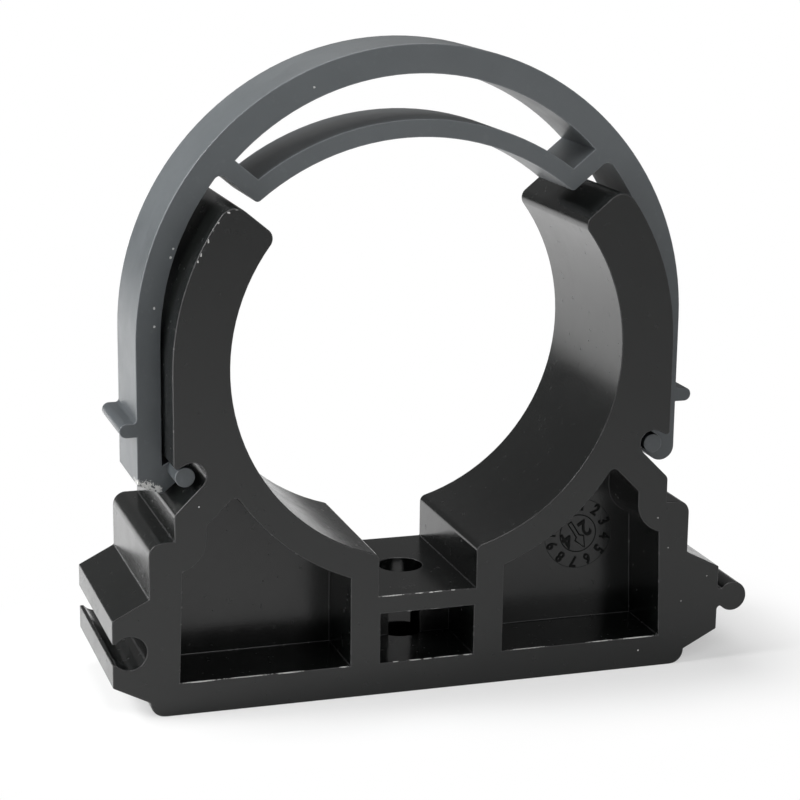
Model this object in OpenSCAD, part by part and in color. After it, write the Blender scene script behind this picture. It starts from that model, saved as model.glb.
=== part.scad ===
// Closed pipe clip for one round pipe, in two mouldings.
// The saddle is screwed to a wall and springs round the lower part of the pipe.
// The closing strap goes over the pipe and hooks its two pins under the saddle's arms.
// Modelled standing on its wall face: X runs along a row of clips, Y along the pipe and
// Z away from the wall. The origin is on the screw's axis, in the wall face.

/* [Pipe] */
// Outside diameter of the pipe that the clip holds
pipe_d = 63; // [54:0.5:68]
// Height of the pipe's underside above the wall
pipe_lift = 22; // [20:0.5:26]

/* [Saddle] */
// Length of the saddle along the pipe
saddle_l = 29; // [24:0.5:36]
// Thickness of an arm beside the pipe
arm_t = 8.75; // [8:0.25:10]
// Angle above the level at which each arm ends
arm_angle = 39.5; // [34:0.5:42]
// Rounding of an arm's end on its outer side
arm_outer_r = 2.6; // [1:0.1:3.2]
// Rounding of an arm's end on its pipe side
arm_inner_r = 1.7; // [0.8:0.1:2.4]
// Width of each shoulder outside the arms
shoulder_w = 4; // [3:0.25:6]
// Drop from the pipe's centre to the shoulders
shoulder_drop = 25.75; // [25:0.25:28]
// Rounding of a shoulder's outer edge
shoulder_r = 2.1; // [0.8:0.1:2.4]
// Rounding of the foot's outer edges
foot_r = 2.3; // [1:0.1:2.4]

/* [Screw seat] */
// Diameter of the screw hole
screw_d = 7.2; // [5.5:0.1:9]
// Width of the channel in the seat for the screw's head
channel_w = 16; // [14:0.5:18]
// Drop from the pipe's underside to the platform under the screw's head
platform_drop = 5.8; // [4:0.1:7]
// Thickness of that platform
platform_t = 2.9; // [2:0.1:4]
// Width of the opening under the platform, at the front and at the back
slot_w = 15.4; // [12:0.2:18]
// Thickness of the floor under the openings
floor_t = 5.2; // [4:0.1:6]
// Rounding where the channel meets the pipe's seat
channel_r = 1.2; // [0.6:0.1:2]

/* [Pockets] */
// Wall between the pipe's seat and a pocket
seat_wall = 4.7; // [3.5:0.1:6]
// Wall between the opening and a pocket
rib_wall = 4.9; // [3.5:0.1:6]
// Outer wall of a pocket at the shoulder
side_wall = 5.2; // [4:0.1:6]
// How much thinner the outer wall is at the floor
side_flare = 0.6; // [0:0.1:1]
// Wall round the inner corner of a shoulder
corner_wall = 5; // [4:0.25:6]
// Wall between a notch's lower lip and a pocket
lip_wall = 4.95; // [4:0.05:6]
// Thickness of the web between the front and the back openings
web_t = 5; // [3:0.5:7]
// Rounding of a pocket's upper tip
pocket_r = 0.9; // [0.6:0.1:2]

/* [Notches] */
// Radius of the notch that takes a strap pin
notch_r = 2.15; // [1.9:0.05:2.3]
// Distance of the notch's centre inside the arm's outer face
notch_inset = 2.8; // [2.5:0.05:3.2]
// Drop from the pipe's centre to the notches
notch_drop = 15.8; // [14.5:0.1:16.5]
// Slope of the lip over a notch
lip_angle = 26; // [15:1:35]
// Rounding of the arm's lower edge
lip_r = 0.5; // [0.2:0.1:0.8]
// Rounding below the notch's lower lip
chin_r = 1.2; // [0.5:0.1:2]

/* [Side links] */
// Reach of each link block beyond the shoulder
link_reach = 5.75; // [5:0.25:7]
// Height of the links' centre above the wall
link_h = 10.7; // [10:0.1:12]
// Height of a link block at its face
link_face_h = 10.7; // [9:0.1:12]
// Height of a link block at its root
link_root_h = 16.6; // [14:0.2:17]
// Radius of the round groove in the left block
socket_r = 2.65; // [2.2:0.05:2.8]
// Gap round the next clip's bead in the groove
socket_gap = 0.2; // [0.1:0.05:0.3]
// Height of the groove's mouth
socket_mouth = 3.3; // [2.6:0.1:3.6]
// Gap over and under the bead's neck in the mouth
neck_gap = 0.15; // [0.1:0.05:0.2]
// Rounding of the neck's root
neck_r = 0.6; // [0.3:0.1:0.8]

/* [Strap] */
// Width of the strap along the pipe
strap_w = 14.5; // [10:0.5:18]
// Gap between a leg and the arm inside it
leg_gap = 0.25; // [0.2:0.05:0.5]
// Thickness of a leg
leg_t = 3.85; // [3:0.05:5]
// Height of the outer arch's centre above the pipe's centre
arch_lift = 2.95; // [2.5:0.05:4]
// Thickness of the outer arch
arch_t = 4.5; // [4:0.1:5.5]
// Gap between the pipe and the inner arch at the top
inner_gap = 1.65; // [1:0.05:2]
// Thickness of the inner arch
inner_t = 2.8; // [2:0.1:4]
// Drop from the pipe's centre to the inner arch's centre
inner_drop = 6.45; // [5:0.05:8]
// Rounding of the inner arch's lower corner at each end
inner_end_r = 0.7; // [0.3:0.1:1.2]
// Gap between an arm's end and the strap's shoulder above it
tip_gap = 2.3; // [1.5:0.1:3]
// Thickness of the walls that join the two arches
stub_t = 2.85; // [2:0.05:4]
// Rounding inside each shoulder of the strap
stub_r = 1.2; // [0.6:0.1:2]

/* [Hooks] */
// Radial play of a pin in its notch
pin_gap = 0.6; // [0.4:0.05:0.7]
// How far a pin rests outward of the notch's centre
pin_out = 0.7; // [0.4:0.05:0.8]
// How far a pin rests below the notch's centre
pin_sag = 0.5; // [0.3:0.05:0.6]
// Setback of each pin end from the saddle's face
pin_setback = 1.8; // [0.5:0.1:4]
// Radius of a leg's rounded foot
toe_r = 2.3; // [1.8:0.1:2.4]
// Drop from the pin to the foot's centre
toe_drop = 2.2; // [1.5:0.1:2.6]
// Height lost at the outer face of the foot that is broken
toe_loss = 2.1; // [0:0.1:2.2]
// Slope of that break, down towards the arm
toe_slope = 22; // [0:1:30]
// Reach of each finger rib from its leg
rib_reach = 2.65; // [2:0.05:4]
// Thickness of a finger rib
rib_t = 2.2; // [1.5:0.1:2.6]
// Drop from the pipe's centre to the finger ribs
rib_drop = 10; // [8:0.25:12]
// Rounding of a finger rib's upper root
rib_root_r = 0.6; // [0.3:0.05:0.7]

/* [Hidden] */
$fn = 96;
// Overrun of every cut past the face that it opens
cut = 1;
// Share of a rounding's radius that its centre keeps from the faces it joins, so that the
// round runs out on them at a fine angle
touch_share = 0.998;
bore_r = pipe_d / 2;
pipe_z = bore_r + pipe_lift;
arm_x = bore_r + arm_t;
pillar_x = arm_x + shoulder_w;
shoulder_z = pipe_z - shoulder_drop;
platform_z = pipe_lift - platform_drop;
link_x = pillar_x + link_reach;
// The notch and the two lines that touch it: its lower lip at 45 degrees and its sloping upper lip
notch = [arm_x - notch_inset, pipe_z - notch_drop];
chin_start = notch - touch_share * notch_r * [cos(45), sin(45)];
chin = [arm_x, chin_start.y - (arm_x - chin_start.x)];
lip_start = notch + touch_share * notch_r * [sin(lip_angle), cos(lip_angle)];
lip = [arm_x, lip_start.y - (arm_x - lip_start.x) * tan(lip_angle)];
// The pockets' outlines, measured from the faces that their walls follow
pocket_arch_r = bore_r + seat_wall;
pocket_x = slot_w / 2 + rib_wall;
pocket_slope = chin.x + chin.y - pipe_z - lip_wall / cos(45);
pocket_depth = (saddle_l - web_t) / 2;
corner_x = arm_x - corner_wall;
// The bead fills the neighbour's groove when the two faces meet
socket_x = -link_x + socket_r;
bead_r = socket_r - socket_gap;
bead_x = link_x + socket_r;
neck_h = socket_mouth - 2 * neck_gap;
// The strap is drawn round the arms
leg_x = arm_x + leg_gap;
strap_r = leg_x + leg_t;
arch_z = pipe_z + arch_lift;
inner_z = pipe_z - inner_drop;
inner_r = bore_r + inner_gap + inner_drop;
pin_r = notch_r - pin_gap;
pin = notch + [pin_out, -pin_sag];
pin_l = saddle_l - 2 * pin_setback;
toe = [strap_r - toe_r, pin.y - toe_drop];
toe_bottom = toe.y - toe_r;
reach = 2 * strap_r;
// Directions along the right arm's end face and away from it
tip_along = [cos(arm_angle), sin(arm_angle)];
tip_across = [-sin(arm_angle), cos(arm_angle)];

// A point at radius r and angle a
function polar(r, a) = r * [cos(a), sin(a)];

// Both halves of what is drawn for the right-hand side
module both_sides() {
  children();
  mirror([1, 0, 0]) children();
}

// An outline in X and Z made into a solid of length l, centred along the pipe
module along_pipe(l) {
  rotate([90, 0, 0]) linear_extrude(height = l, center = true) children();
}

// The space above two lines that rise at arm_angle, each moved up by d from the pipe's centre
module above_tips(d) {
  apex = [0, pipe_z + d / cos(arm_angle)];
  polygon([
    apex,
    apex + polar(reach, arm_angle),
    apex + [reach * cos(arm_angle), 2 * reach],
    apex + [-reach * cos(arm_angle), 2 * reach],
    apex + polar(reach, 180 - arm_angle)
  ]);
}

// What a rounding of radius r takes off a corner at p, whose edges leave it at angles a and b
module corner(p, a, b, r) {
  half = abs(a - b) / 2;
  middle = (a + b) / 2;
  centre = p + polar(touch_share * r / sin(half), middle);
  along = touch_share * r / tan(half);
  difference() {
    polygon([centre, p + polar(along, a), p - polar(r, middle), p + polar(along, b)]);
    translate(centre) circle(r);
  }
}

// What a rounding of radius r takes off where a ring of radius ring_r ends at angle a.
// side is 1 at the ring's outer edge and -1 at its inner edge.
module ring_corner(ring_r, a, r, side) {
  centre_r = ring_r - side * touch_share * r;
  turn = asin(touch_share * r / centre_r);
  far_r = ring_r + side * r;
  difference() {
    polygon([
      polar(centre_r, a - turn),
      polar(centre_r * cos(turn), a),
      polar(centre_r * cos(turn), a) + polar(r, a + 90),
      polar(far_r, a) + polar(r, a + 90),
      polar(far_r, a - turn)
    ]);
    rotate(a - turn) translate([centre_r, 0]) circle(r);
  }
}

// The round notch under an arm and its mouth, which opens down and out
module notch_space() {
  translate(notch) circle(notch_r);
  polygon([notch, chin_start, chin, chin + [cut, 0], lip + [cut, 0], lip, lip_start]);
}

// One link block, with its upper and lower faces sloping to its root
module link_block() {
  polygon([
    [pillar_x - shoulder_w, link_h - link_root_h / 2],
    [pillar_x, link_h - link_root_h / 2],
    [link_x, link_h - link_face_h / 2],
    [link_x, link_h + link_face_h / 2],
    [pillar_x, link_h + link_root_h / 2],
    [pillar_x - shoulder_w, link_h + link_root_h / 2]
  ]);
}

// The bead on its neck, on the right-hand block
module bead() {
  translate([bead_x, link_h]) circle(bead_r);
  translate([link_x - link_reach / 2, link_h - neck_h / 2]) square([bead_x - link_x + link_reach / 2, neck_h]);
  for (side = [-1, 1]) {
    corner([link_x, link_h + side * neck_h / 2], 45 * (side + 1), 45 * (side - 1), neck_r);
  }
}

// The groove in the left-hand block that takes the next clip's bead
module socket_space() {
  translate([socket_x, link_h]) circle(socket_r);
  translate([-link_x - cut, link_h - socket_mouth / 2]) square([socket_r + cut, socket_mouth]);
}

// The channel over the platform, with its upper edges rounded into the pipe's seat
module channel_space() {
  edge_x = channel_w / 2;
  touch_r = touch_share * channel_r;
  centre_r = bore_r + touch_r;
  centre = [edge_x + touch_r, -sqrt(centre_r * centre_r - pow(edge_x + touch_r, 2))];
  inside = centre * (bore_r - channel_r) / centre_r;
  translate([-edge_x, platform_z]) square([channel_w, pipe_z - platform_z]);
  both_sides() translate([0, pipe_z]) difference() {
    polygon([[edge_x - channel_r, centre.y], centre, inside, [edge_x - channel_r, inside.y]]);
    translate(centre) circle(channel_r);
  }
}

// The saddle's body and arms, before anything is cut out
module body_outline() {
  translate([-pillar_x, 0]) square([2 * pillar_x, shoulder_z]);
  translate([-arm_x, 0]) square([2 * arm_x, pipe_z]);
  translate([0, pipe_z]) circle(arm_x);
}

// What is cut out of the body across its middle: pipe, mouth and screw channel
module middle_space() {
  translate([0, pipe_z]) circle(bore_r);
  above_tips(0);
  channel_space();
}

// What is cut off the right-hand side: notch, arm end and rounded edges
module side_space() {
  notch_space();
  translate([0, pipe_z]) ring_corner(arm_x, arm_angle, arm_outer_r, 1);
  translate([0, pipe_z]) ring_corner(bore_r, arm_angle, arm_inner_r, -1);
  corner([pillar_x, 0], 180, 90, foot_r);
  corner([pillar_x, shoulder_z], 270, 180, shoulder_r);
  corner(chin, 270, 135, chin_r);
  corner(lip, 180 - lip_angle, 90, lip_r);
}

// One pocket's section: it follows the seat, the notch's lower lip and the shoulder's corner
module pocket_outline() {
  wall_x = pillar_x - side_wall;
  slope_top = [corner_x, pipe_z + pocket_slope - corner_x];
  touch_r = touch_share * pocket_r;
  sum = pocket_slope - touch_r / cos(45);
  tip_r = pocket_arch_r + touch_r;
  tip_x = (sum + sqrt(2 * tip_r * tip_r - sum * sum)) / 2;
  tip = [tip_x, pipe_z + sum - tip_x];
  on_slope = tip + polar(touch_r, 45);
  past_arch = [0, pipe_z] + (tip - [0, pipe_z]) * (pocket_arch_r - pocket_r) / tip_r;
  difference() {
    polygon([
      [pocket_x, floor_t],
      [wall_x + side_flare, floor_t],
      [wall_x, shoulder_z - corner_wall],
      [wall_x, shoulder_z],
      [corner_x, shoulder_z],
      slope_top,
      on_slope,
      tip,
      past_arch,
      [pocket_x, past_arch.y]
    ]);
    translate([0, pipe_z]) circle(pocket_arch_r);
    translate([arm_x, shoulder_z]) circle(corner_wall);
  }
  translate(tip) circle(pocket_r);
}

// The section of the opening under the platform
module slot_outline() {
  translate([-slot_w / 2, floor_t]) square([slot_w, platform_z - platform_t - floor_t]);
}

// Black moulded saddle: foot, screw seat, arms, notches and side links
module saddle() {
  cut_l = saddle_l + 2 * cut;
  color([0.13, 0.13, 0.14]) difference() {
    union() {
      difference() {
        along_pipe(saddle_l) body_outline();
        along_pipe(cut_l) middle_space();
        both_sides() along_pipe(cut_l) side_space();
      }
      both_sides() along_pipe(saddle_l) link_block();
      along_pipe(saddle_l) bead();
    }
    along_pipe(cut_l) socket_space();
    for (side = [-1, 1]) {
      translate([0, side * (web_t + pocket_depth + cut) / 2, 0]) {
        along_pipe(pocket_depth + cut) slot_outline();
        both_sides() along_pipe(pocket_depth + cut) pocket_outline();
      }
    }
    translate([0, 0, -cut]) cylinder(h = platform_z + 2 * cut, r = screw_d / 2);
  }
}

// The hook at the foot of a leg, which reaches in under the arm to the pin
module hook_outline() {
  across = toe - pin;
  lean = atan2(across.y, across.x) - acos(touch_share * (pin_r - toe_r) / norm(across));
  top = pin + touch_share * pin_r * [sin(lip_angle), cos(lip_angle)];
  top_z = top.y - (leg_x - top.x) * tan(lip_angle);
  translate(pin) circle(pin_r);
  translate(toe) circle(toe_r);
  polygon([
    pin,
    top,
    [leg_x, top_z],
    [strap_r, top_z],
    [strap_r, toe.y],
    toe,
    toe + polar(touch_share * toe_r, lean),
    pin + polar(touch_share * pin_r, lean)
  ]);
}

// The rounded rib that a finger pushes to spring a leg off its notch
module rib_outline() {
  rib_x = strap_r + rib_reach - rib_t / 2;
  rib_z = pipe_z - rib_drop;
  translate([leg_x + leg_t / 2, rib_z - rib_t / 2]) square([rib_x - leg_x - leg_t / 2, rib_t]);
  translate([rib_x, rib_z]) circle(rib_t / 2);
  corner([strap_r, rib_z + rib_t / 2], 90, 0, rib_root_r);
}

// The rounding between a leg and the strap's shoulder above the arm's end
module shoulder_fill() {
  touch_r = touch_share * stub_r;
  run_r = leg_x - touch_r;
  side = tip_gap - touch_r;
  run = arch_lift * sin(arm_angle) + sqrt(run_r * run_r - pow(side - arch_lift * cos(arm_angle), 2));
  centre = [0, pipe_z] + run * tip_along + side * tip_across;
  outward = (centre - [0, arch_z]) / run_r;
  past_faces = 1.5 * stub_r;
  difference() {
    polygon([
      centre,
      centre + past_faces * outward,
      centre + past_faces * (tip_along + tip_across),
      centre + past_faces * tip_across
    ]);
    translate(centre) circle(stub_r);
  }
}

// What a rounding takes off the inner arch where its underside meets the face over the arm's end
module inner_end_space() {
  touch_r = touch_share * inner_end_r;
  run_r = inner_r + touch_r;
  side = tip_gap + touch_r;
  run = sqrt(run_r * run_r - pow(side + inner_drop * cos(arm_angle), 2)) - inner_drop * sin(arm_angle);
  centre = [0, pipe_z] + run * tip_along + side * tip_across;
  inward = ([0, inner_z] - centre) / run_r;
  past_faces = 1.5 * inner_end_r;
  difference() {
    polygon([
      centre,
      centre + past_faces * inward,
      centre + past_faces * (inward - tip_across),
      centre - past_faces * tip_across
    ]);
    translate(centre) circle(inner_end_r);
  }
}

// The outer arch's thin stretch and both legs, which run clear of the arms
module leg_outline() {
  difference() {
    union() {
      intersection() {
        translate([0, arch_z]) circle(strap_r);
        translate([-strap_r, arch_z]) square([2 * strap_r, strap_r]);
      }
      translate([-strap_r, toe.y]) square([2 * strap_r, arch_z - toe.y]);
    }
    translate([0, arch_z]) circle(leg_x);
    translate([-leg_x, toe.y - cut]) square([2 * leg_x, arch_z - toe.y + cut]);
  }
}

// The top of the strap: outer arch, springy inner arch, and the walls that join them
module crown_outline() {
  difference() {
    intersection() {
      translate([0, arch_z]) circle(strap_r);
      above_tips(tip_gap);
    }
    translate([0, inner_z]) circle(inner_r);
    difference() {
      intersection() {
        translate([0, arch_z]) circle(strap_r - arch_t);
        above_tips(tip_gap + stub_t);
      }
      translate([0, inner_z]) circle(inner_r + inner_t);
    }
  }
}

// Dark grey moulded strap: arches, legs, finger ribs, hooks and cross pins
module closing_strap() {
  color([0.3, 0.32, 0.33]) {
    along_pipe(strap_w) leg_outline();
    difference() {
      along_pipe(strap_w) crown_outline();
      both_sides() along_pipe(strap_w + 2 * cut) inner_end_space();
    }
    both_sides() along_pipe(strap_w) shoulder_fill();
    both_sides() along_pipe(strap_w) rib_outline();
    both_sides() along_pipe(pin_l) translate(pin) circle(pin_r);
    along_pipe(strap_w) hook_outline();
    difference() {
      mirror([1, 0, 0]) along_pipe(strap_w) hook_outline();
      translate([-strap_r, 0, toe_bottom + toe_loss]) rotate([0, toe_slope, 0]) {
        translate([-cut, -saddle_l / 2, -2 * toe_r]) cube([3 * toe_r + cut, saddle_l, 2 * toe_r]);
      }
    }
  }
}

saddle();
closing_strap();
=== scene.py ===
import math

import bmesh
import bpy
from mathutils import Matrix, Vector


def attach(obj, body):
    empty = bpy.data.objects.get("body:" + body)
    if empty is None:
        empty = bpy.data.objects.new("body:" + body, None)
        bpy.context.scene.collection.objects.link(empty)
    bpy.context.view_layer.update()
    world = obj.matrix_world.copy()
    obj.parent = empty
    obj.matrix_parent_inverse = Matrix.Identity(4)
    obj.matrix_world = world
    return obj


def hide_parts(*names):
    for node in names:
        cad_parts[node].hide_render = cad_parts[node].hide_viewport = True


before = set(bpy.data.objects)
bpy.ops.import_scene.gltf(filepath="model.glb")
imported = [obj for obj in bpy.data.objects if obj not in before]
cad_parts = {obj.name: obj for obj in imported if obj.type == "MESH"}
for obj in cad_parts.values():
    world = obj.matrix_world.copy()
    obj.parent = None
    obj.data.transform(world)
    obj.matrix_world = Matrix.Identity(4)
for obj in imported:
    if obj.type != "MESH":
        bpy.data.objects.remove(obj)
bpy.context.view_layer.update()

scene = bpy.context.scene
scene.view_settings.view_transform = "Standard"

# Camera
# The photograph's view: from the front, a little from the left and from above, through
# a long lens.
EYE = Vector((-0.10764, -0.33415, 0.13112))
EYE_AZIMUTH = math.radians(17.80)
EYE_TILT = math.radians(13.98)
EYE_ROLL = math.radians(0.713)
camera_data = bpy.data.cameras.new("camera")
camera_data.lens = 102.0
camera_data.sensor_width = 36.0
camera_data.clip_start = 0.01
camera = bpy.data.objects.new("camera", camera_data)
turned = Matrix.Rotation(-EYE_AZIMUTH, 4, "Z") @ Matrix.Rotation(math.pi / 2 - EYE_TILT, 4, "X")
camera.matrix_world = Matrix.Translation(EYE) @ turned @ Matrix.Rotation(EYE_ROLL, 4, "Z")
scene.collection.objects.link(camera)
scene.camera = camera


# Saddle
# One injection moulding in black plastic: foot, screw seat, two springy arms, notches for
# the strap's pins, and a groove and a bead that join it to its neighbours in a row. Its
# edges are slightly rounded by the mould, and their rims are paler: partly rubbed wear and
# partly a painted edge highlight.
MM = 0.001
SADDLE_FRONT = -14.5 * MM
SADDLE_EDGE = 0.15 * MM
MERGE = 0.002 * MM
SHARP = math.radians(30)
ROUND = math.radians(46)
FLAT = math.radians(0.5)
GRAIN_DEPTH = 0.02 * MM
GLOSSY = 1.5


class Shade:
    """A socket of a finish: signs do sums on single values, and node() adds any other node."""

    def __init__(self, tree, socket=None):
        self.tree = tree
        self.socket = socket

    def node(self, kind, settings=(), inputs=(), output=0):
        made = self.tree.nodes.new(kind)
        for name, value in dict(settings).items():
            setattr(made, name, value)
        for name, value in dict(inputs).items():
            if isinstance(value, Shade):
                self.tree.links.new(value.socket, made.inputs[name])
            else:
                made.inputs[name].default_value = value
        return Shade(self.tree, made.outputs[output] if len(made.outputs) else None)

    def sum(self, operation, first, second):
        return self.node("ShaderNodeMath", {"operation": operation}, {0: first, 1: second})

    def __add__(self, other):
        return self.sum("ADD", self, other)

    def __rsub__(self, other):
        return self.sum("SUBTRACT", other, self)

    def __mul__(self, other):
        return self.sum("MULTIPLY", self, other)

    def __lt__(self, other):
        return self.sum("LESS_THAN", self, other)

    def greater_of(self, other):
        return self.sum("MAXIMUM", self, other)

    def rising(self, low, high):
        """0 below low and 1 above high, with a soft step between."""
        ends = {"Value": self, "From Min": low, "From Max": high}
        return self.node("ShaderNodeMapRange", {"interpolation_type": "SMOOTHSTEP"}, ends)

    def cloud(self, grain, detail=2.0):
        """Noise over this place, with patches about grain millimetres across."""
        sizes = {"Vector": self, "Scale": 1 / (grain * MM), "Detail": detail}
        return self.node("ShaderNodeTexNoise", {}, sizes)

    def blend(self, colour_off, colour_on):
        """colour_off where this mask is 0 and colour_on where it is 1."""
        ends = {0: self, 6: colour_off, 7: colour_on}
        return self.node("ShaderNodeMix", {"data_type": "RGBA"}, ends, 2)

    def part(self, axis):
        """One coordinate of this place."""
        return self.node("ShaderNodeSeparateXYZ", {}, {0: self}, "XYZ".index(axis))

    def vector(self, operation, other):
        """Sums on whole places."""
        return self.node("ShaderNodeVectorMath", {"operation": operation}, {0: self, 1: other})

    def length(self):
        return self.node("ShaderNodeVectorMath", {"operation": "LENGTH"}, {0: self}, 1)

    def marked(self, marks, y, deep):
        """1 inside small ragged marks near the face at y, and 0 elsewhere.

        Each mark is its x, z, half length and half height in millimetres."""
        nearest = None
        for x, z, along, up in marks:
            spread = (1 / (along * MM), 1 / deep, 1 / (up * MM))
            centre = (-x * MM * spread[0], -y * spread[1], -z * MM * spread[2])
            settings = {"Vector": self, "Location": centre, "Scale": spread}
            off = self.node("ShaderNodeMapping", {}, settings).length()
            nearest = off if nearest is None else nearest.sum("MINIMUM", nearest, off)
        return 1 - (nearest + self.cloud(0.22, 3.0) * 1.6).rising(1.45, 1.75)


def new_finish(name):
    """An empty node tree for a plastic, and the place on the piece."""
    finish = bpy.data.materials.new(name)
    finish.use_nodes = True
    finish.node_tree.nodes.clear()
    start = Shade(finish.node_tree)
    return finish, start, start.node("ShaderNodeTexCoord", output=3)


def moulded_surface(start, colour, roughness, height, gloss=GLOSSY):
    """The plastic itself: a colour, a roughness, a height for the grain, and how much it shines."""
    grain = start.node("ShaderNodeBump", {}, {"Height": height, "Distance": GRAIN_DEPTH, "Strength": 1.0})
    sockets = {"Base Color": colour, "Roughness": roughness, "Normal": grain, "IOR": gloss}
    plastic = start.node("ShaderNodeBsdfPrincipled", {}, sockets)
    start.node("ShaderNodeOutputMaterial", {}, {"Surface": plastic})


def black_plastic(name, colour, pale, rubbed, dull, marks, gloss=GLOSSY):
    """Black plastic, mottled by its flow into the mould, with scuffs and whitened nicks.

    rubbed is how pale it is worn, dull is added to its roughness, and marks are the nicks."""
    finish, start, place = new_finish(name)
    mottle = place.cloud(4.0, 4.0)
    grain = place.cloud(0.35)
    flow = place.cloud(14.0)
    scuffs = place.cloud(1.3, 5.0).rising(0.60, 0.72)
    nicks = place.marked(marks, SADDLE_FRONT, NICK_DEPTH)
    tone = (mottle * 0.6 + scuffs * 0.4) * rubbed
    shown = nicks.blend(tone.blend(colour, pale), WHITENED)
    roughness = mottle * 0.10 + flow * 0.08 + scuffs * 0.08 + nicks * 0.3 + 0.12 + dull
    moulded_surface(start, shown, roughness, grain * 0.4 + mottle * 0.6 + nicks * 2, gloss)
    return finish


def moulded_copy(node, edge, inner_too, faces, rims):
    """A merged copy of a CAD node with its edges rounded, and its faces and rims in two finishes."""
    bpy.ops.object.select_all(action="DESELECT")
    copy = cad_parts[node].copy()
    copy.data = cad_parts[node].data.copy()
    copy.parent = None
    copy.name = node + "_moulding"
    for key in list(copy.keys()):
        del copy[key]
    scene.collection.objects.link(copy)
    copy.select_set(True)
    bpy.context.view_layer.objects.active = copy
    copy.data.materials.clear()
    copy.data.materials.append(faces)
    copy.data.materials.append(rims)
    bpy.ops.mesh.customdata_custom_splitnormals_clear()
    bpy.ops.object.mode_set(mode="EDIT")
    bpy.ops.mesh.select_all(action="SELECT")
    bpy.ops.mesh.remove_doubles(threshold=MERGE)
    bpy.ops.mesh.dissolve_limited(angle_limit=FLAT)
    bpy.ops.object.mode_set(mode="OBJECT")
    shape = bmesh.new()
    shape.from_mesh(copy.data)
    weight = shape.edges.layers.float.new("bevel_weight_edge")
    for line in shape.edges:
        line[weight] = float(line.calc_face_angle() > SHARP and (inner_too or line.is_convex))
    shape.to_mesh(copy.data)
    shape.free()
    rounding = copy.modifiers.new("rounding", "BEVEL")
    rounding.width = edge
    rounding.segments = 2
    rounding.limit_method = "WEIGHT"
    rounding.use_clamp_overlap = False
    rounding.material = 1
    bpy.ops.object.modifier_apply(modifier="rounding")
    bpy.ops.object.shade_smooth_by_angle(angle=ROUND)
    flatness = copy.modifiers.new("flatness", "WEIGHTED_NORMAL")
    flatness.weight = 100
    flatness.keep_sharp = True
    bpy.ops.object.modifier_apply(modifier="flatness")
    return copy


WHITENED = (0.50, 0.50, 0.49, 1)
NICK_DEPTH = 0.35 * MM
SHAVINGS = (
    # along the platform's front edge and its underside
    (-5.8, 16.2, 2.4, 0.15), (-1.4, 16.2, 0.9, 0.12), (0.5, 16.1, 0.36, 0.28), (1.6, 16.2, 0.9, 0.14),
    (4.2, 16.2, 0.4, 0.12), (-3.0, 13.3, 0.6, 0.1), (1.4, 13.3, 1.4, 0.1),
    # along the lower edges of the openings
    (-5.2, 5.2, 0.6, 0.12), (-2.0, 5.2, 1.3, 0.14), (0.1, 5.2, 0.9, 0.14), (3.2, 5.2, 2.6, 0.09),
    (6.7, 5.2, 0.9, 0.13), (-36.4, 5.2, 3.3, 0.2), (-29.0, 5.2, 4.2, 0.14), (-22.4, 5.2, 2.6, 0.2),
    (-13.6, 5.2, 0.8, 0.17), (17.0, 5.2, 4.0, 0.1), (29.5, 5.2, 2.6, 0.14), (36.0, 5.2, 3.6, 0.2))
SPECKS = (
    # the left arm's end and outer edge
    (-30.4, 77.9, 0.26, 0.18), (-31.6, 77.4, 0.3, 0.17), (-33.2, 76.0, 0.22, 0.24), (-34.0, 75.0, 0.18, 0.3),
    (-34.7, 73.4, 0.16, 0.5), (-35.8, 71.4, 0.16, 0.42), (-36.3, 70.4, 0.15, 0.3),
    # the left notch's lip, the right-hand block and the base
    (-38.9, 35.8, 0.2, 0.16), (-36.5, 33.0, 0.14, 0.14), (38.8, 25.2, 0.15, 0.13), (40.8, 20.0, 0.12, 0.12),
    (47.9, 14.6, 0.12, 0.12), (43.5, 10.7, 0.12, 0.12), (36.2, 2.9, 0.17, 0.17))
BLACK = (0.0023, 0.0028, 0.0026, 1)
WORN_BLACK = (0.0065, 0.0074, 0.0070, 1)
RIM_BLACK_AND_PAINTED_HIGHLIGHT = (0.006, 0.006, 0.0062, 1)
WORN_RIM_AND_PAINTED_HIGHLIGHT = (0.050, 0.050, 0.051, 1)
# The rims' finish is paler than the faces': partly rubbed wear, partly a painted edge highlight.
saddle_faces = black_plastic("saddle_black", BLACK, WORN_BLACK, 1.0, 0.0, SPECKS)
saddle_rims_worn_and_highlit = black_plastic("saddle_rubbed_and_highlit", RIM_BLACK_AND_PAINTED_HIGHLIGHT, WORN_RIM_AND_PAINTED_HIGHLIGHT, 1.4, 0.05, SHAVINGS)
saddle = moulded_copy("saddle", SADDLE_EDGE, True, saddle_faces, saddle_rims_worn_and_highlit)
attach(saddle, "saddle")
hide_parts("saddle")


# Date dial
# A round mark that a turning pin in the mould leaves on the pocket's web, in thin rounded
# ridges: two rings, the plain numbers of the months between them, and an arrow between the
# year's two plain numbers.
WEB_FRONT = -2.5 * MM
DIAL_X = 29.95 * MM
DIAL_Z = 19.75 * MM
DIAL_RINGS = ((3.15 * MM, 0.09 * MM), (5.9 * MM, 0.04 * MM))
RIDGE = 0.17 * MM
MONTH_R = 4.87 * MM
MONTH_H = 1.95 * MM
MONTH_TURN = 30
FIRST_TURN = 8.5
YEAR_H = 2.9 * MM
YEAR_TURN = 147
YEAR = (("2", 31.15, 20.5), ("4", 28.1, 18.65))
NUMBER_WIDTH = 0.85
TEXT_SIZE = 1.4
ARROW = (
    (28.16, 21.44), (29.71, 19.07), (29.49, 18.50), (31.21, 17.23), (31.01, 19.30), (30.23, 19.47),
    (28.73, 21.79))
ARROW_RIDGE = RIDGE * 0.8
MATT = 1.22
# The dial's pale colour is darker than the web's worn black: painted shade that makes the ridges read dark.
DIAL_PAINTED_SHADE_BLACK = (0.003, 0.0035, 0.0033, 1)


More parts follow.
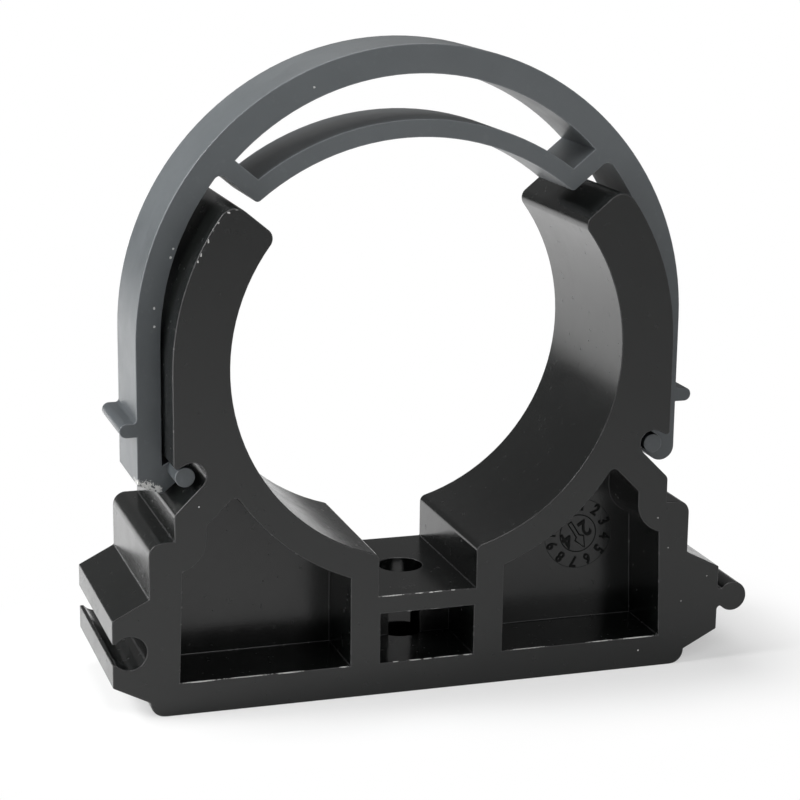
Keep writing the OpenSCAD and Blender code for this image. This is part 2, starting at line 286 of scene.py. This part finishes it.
def raised_number(words, x, z, height, turn):
    """One raised number on the web, with its middle at x and z and its top turned clockwise."""
    bpy.ops.object.select_all(action="DESELECT")
    bpy.ops.object.text_add()
    number = bpy.context.object
    number.data.body = words
    number.data.size = height * TEXT_SIZE
    number.data.extrude = RIDGE / 2
    number.data.bevel_depth = RIDGE / 2
    number.data.bevel_resolution = 2
    bpy.ops.object.convert(target="MESH")
    spots = [spot.co for spot in number.data.vertices]
    low = Vector([min(spot[axis] for spot in spots) for axis in range(3)])
    high = Vector([max(spot[axis] for spot in spots) for axis in range(3)])
    grown = height / (high - low).y
    middle = Matrix.Translation(-(low + high) / 2)
    facing = Matrix.Rotation(math.pi / 2, 4, "X") @ Matrix.Rotation(-math.radians(turn), 4, "Z")
    sized = Matrix.Diagonal((grown * NUMBER_WIDTH, grown, 1, 1))
    number.data.transform(Matrix.Translation((x, WEB_FRONT, z)) @ facing @ sized @ middle)
    return number


def joined(pieces, name):
    """The pieces made into one, with its object at the origin."""
    bpy.ops.object.select_all(action="DESELECT")
    for piece in pieces:
        piece.select_set(True)
    bpy.context.view_layer.objects.active = pieces[0]
    bpy.ops.object.join()
    whole = bpy.context.object
    whole.name = name
    return whole


marks = []
for ring_r, ridge in DIAL_RINGS:
    bpy.ops.object.select_all(action="DESELECT")
    bpy.ops.mesh.primitive_torus_add(
        location=(DIAL_X, WEB_FRONT, DIAL_Z), rotation=(math.pi / 2, 0, 0),
        major_radius=ring_r, minor_radius=ridge, major_segments=96, minor_segments=10)
    bpy.ops.object.transform_apply(location=True, rotation=True, scale=True)
    marks.append(bpy.context.object)
for month in range(1, 13):
    turn = FIRST_TURN + (month - 1) * MONTH_TURN
    way = math.radians(90 - turn)
    x = DIAL_X + MONTH_R * math.cos(way)
    z = DIAL_Z + MONTH_R * math.sin(way)
    marks.append(raised_number(str(month), x, z, MONTH_H, turn))
for number, x, z in YEAR:
    marks.append(raised_number(number, x * MM, z * MM, YEAR_H, YEAR_TURN))
bpy.ops.object.select_all(action="DESELECT")
bpy.ops.mesh.primitive_circle_add(vertices=len(ARROW), fill_type="NOTHING")
arrow = bpy.context.object
for spot, (x, z) in zip(arrow.data.vertices, ARROW):
    spot.co = (x * MM, WEB_FRONT, z * MM)
bpy.ops.object.convert(target="CURVE")
arrow = bpy.context.object
arrow.data.bevel_depth = ARROW_RIDGE
arrow.data.bevel_resolution = 2
bpy.ops.object.convert(target="MESH")
marks.append(bpy.context.object)
dial = joined(marks, "date_dial")
dial.data.materials.clear()
dial.data.materials.append(black_plastic("dial_black_painted_shade", BLACK, DIAL_PAINTED_SHADE_BLACK, 1.0, 0.12, SPECKS[:1], MATT))
bpy.ops.object.shade_smooth_by_angle(angle=SHARP)
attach(dial, "saddle")


# Closing strap
# One injection moulding in dark blue-grey plastic: an outer arch with two legs, a springy
# inner arch that bears on the pipe, finger ribs, and feet whose pins hook under the arms.
STRAP_EDGE = 0.15 * MM
STRAP_FRONT = -7.25 * MM
STRAP_NICKS = (
    (-38.4, 71.1, 0.2, 0.2), (-38.8, 69.8, 0.2, 0.25), (-39.0, 66.6, 0.2, 0.2), (-41.4, 62.2, 0.18, 0.3),
    (-41.4, 59.4, 0.2, 0.2), (-16.8, 99.1, 0.25, 0.2), (-16.7, 94.6, 0.2, 0.2), (-25.9, 93.9, 0.2, 0.2),
    (-30.5, 89.6, 0.2, 0.2))
TORN = ((-43.0, 34.6, 1.5, 1.1), (-41.5, 34.1, 1.1, 0.9), (-44.1, 35.3, 0.5, 0.6))
TORN_DEPTH = 4.5 * MM
# Painted light: between these heights the strap's colour grows paler towards the arch's top, standing in for
# the light from above.
PAINTED_LIGHT_FROM = 50 * MM
PAINTED_LIGHT_TO = 88 * MM


def grey_plastic(name, colour, pale, rubbed):
    """Blue-grey plastic, mottled, with painted light that makes it paler up over the arch, and whitened
    where the left foot is torn.
    """
    finish, start, place = new_finish(name)
    mottle = place.cloud(5.0, 4.0)
    grain = place.cloud(0.30)
    streak = place.cloud(11.0)
    scuffs = place.cloud(1.1, 5.0).rising(0.60, 0.72)
    nicks = place.marked(STRAP_NICKS, STRAP_FRONT, NICK_DEPTH)
    crumbs = place.cloud(0.45, 4.0)
    torn = place.marked(TORN, STRAP_FRONT, TORN_DEPTH)
    # painted light from above: the colour is paler the higher it is on the strap
    arch = place.part("Z").rising(PAINTED_LIGHT_FROM, PAINTED_LIGHT_TO)
    tone = (mottle * 0.3 + streak * 0.15 + scuffs * 0.15) * rubbed + arch * 0.6
    white = nicks.greater_of(torn * crumbs.rising(0.36, 0.50))
    shown = white.blend(tone.blend(colour, pale), WHITENED)
    roughness = mottle * 0.16 + streak * 0.08 + torn * 0.35 + 0.24
    moulded_surface(start, shown, roughness, grain * 0.3 + mottle * 0.3 + torn * crumbs * 8)
    return finish


GREY = (0.042, 0.048, 0.053, 1)
WORN_GREY = (0.100, 0.110, 0.116, 1)
# The rims are paler than the faces: partly rubbed wear, partly a painted edge highlight.
RIM_GREY_AND_PAINTED_HIGHLIGHT = (0.065, 0.073, 0.079, 1)
WORN_RIM_GREY_AND_PAINTED_HIGHLIGHT = (0.15, 0.16, 0.17, 1)
strap_faces = grey_plastic("strap_grey", GREY, WORN_GREY, 1.0)
strap_rims_worn_and_highlit = grey_plastic("strap_rubbed_and_highlit", RIM_GREY_AND_PAINTED_HIGHLIGHT, WORN_RIM_GREY_AND_PAINTED_HIGHLIGHT, 1.2)
strap = moulded_copy("closing_strap", STRAP_EDGE, False, strap_faces, strap_rims_worn_and_highlit)
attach(strap, "strap")
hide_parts("closing_strap")


# Studio
# A white table under plain soft light, with most of it from the left and from above, so
# that the glossy black plastic shows where its faces turn.
TABLE_R = 6.0
TABLE_WHITE = 0.85
SHADOW_GLOW = 0.44
HALF_FOOT = (50 * MM, 14 * MM, 0)
SHADOW_NEAR = 3 * MM
SHADOW_FAR = 30 * MM
SKY_TOP = 0.5
SKY_LIGHT = 0.17
MIDDLE = (0, 0, 0.05)
LAMPS = (
    # name, place, what it faces, width, height and watts
    ("left_box", (-0.9, 0, 0.25), MIDDLE, 0.6, 0.5, 3.4),
    ("top_left_box", (-0.7, 0, 0.8), MIDDLE, 0.5, 0.5, 3.8),
    ("top_front_box", (0, -0.7, 0.8), MIDDLE, 0.5, 0.5, 3.1),
    ("front_right_box", (0.6, -0.8, 0.3), MIDDLE, 0.6, 0.5, 1.6),
    ("back_box", (0.03, 0.22, 0.32), (0.03, 0.16, 0), 0.25, 0.2, 0.5),
    ("table_box", (-0.5, 0.1, 0.35), (-0.5, 0.1, 0), 0.4, 0.4, 5.0))


def studio_white(name):
    """A white surface that keeps the shadow close round the object's foot and is plain further off."""
    finish, start, place = new_finish(name)
    seen = start.node("ShaderNodeLightPath", output=0)
    beside = place.vector("ABSOLUTE", (0, 0, 0)).vector("SUBTRACT", HALF_FOOT).vector("MAXIMUM", (0, 0, 0))
    plain = beside.length().rising(SHADOW_NEAR, SHADOW_FAR) * (1 - SHADOW_GLOW) + SHADOW_GLOW
    paint = start.node("ShaderNodeBsdfDiffuse", {}, {"Color": (TABLE_WHITE, TABLE_WHITE, TABLE_WHITE, 1)})
    glow = start.node("ShaderNodeEmission", {}, {"Color": (1, 1, 1, 1), "Strength": 1.0})
    mixed = start.node("ShaderNodeMixShader", {}, {0: plain * seen, 1: paint, 2: glow})
    start.node("ShaderNodeOutputMaterial", {}, {"Surface": mixed})
    return finish


bpy.ops.object.select_all(action="DESELECT")
bpy.ops.mesh.primitive_circle_add(vertices=96, radius=TABLE_R, fill_type="NGON")
table = bpy.context.object
table.name = "table"
table.data.materials.append(studio_white("table_white"))

world = bpy.data.worlds.new("studio")
scene.world = world
world.use_nodes = True
world.node_tree.nodes.clear()
sky = Shade(world.node_tree)
height = sky.node("ShaderNodeTexCoord", output=0).part("Z")
seen = sky.node("ShaderNodeLightPath", output=0)
low_light = (height < SKY_TOP) * SKY_LIGHT
dim = sky.node("ShaderNodeBackground", {}, {"Color": (1, 1, 1, 1), "Strength": low_light})
white = sky.node("ShaderNodeBackground", {}, {"Color": (1, 1, 1, 1), "Strength": 1.0})
mixed = sky.node("ShaderNodeMixShader", {}, {0: seen, 1: dim, 2: white})
sky.node("ShaderNodeOutputWorld", {}, {"Surface": mixed})

for name, place, aim, wide, high, watts in LAMPS:
    light = bpy.data.lights.new(name, "AREA")
    light.shape = "RECTANGLE"
    light.size = wide
    light.size_y = high
    light.energy = watts
    lamp = bpy.data.objects.new(name, light)
    scene.collection.objects.link(lamp)
    lamp.location = place
    lamp.rotation_euler = (Vector(aim) - Vector(place)).to_track_quat("-Z", "Y").to_euler()
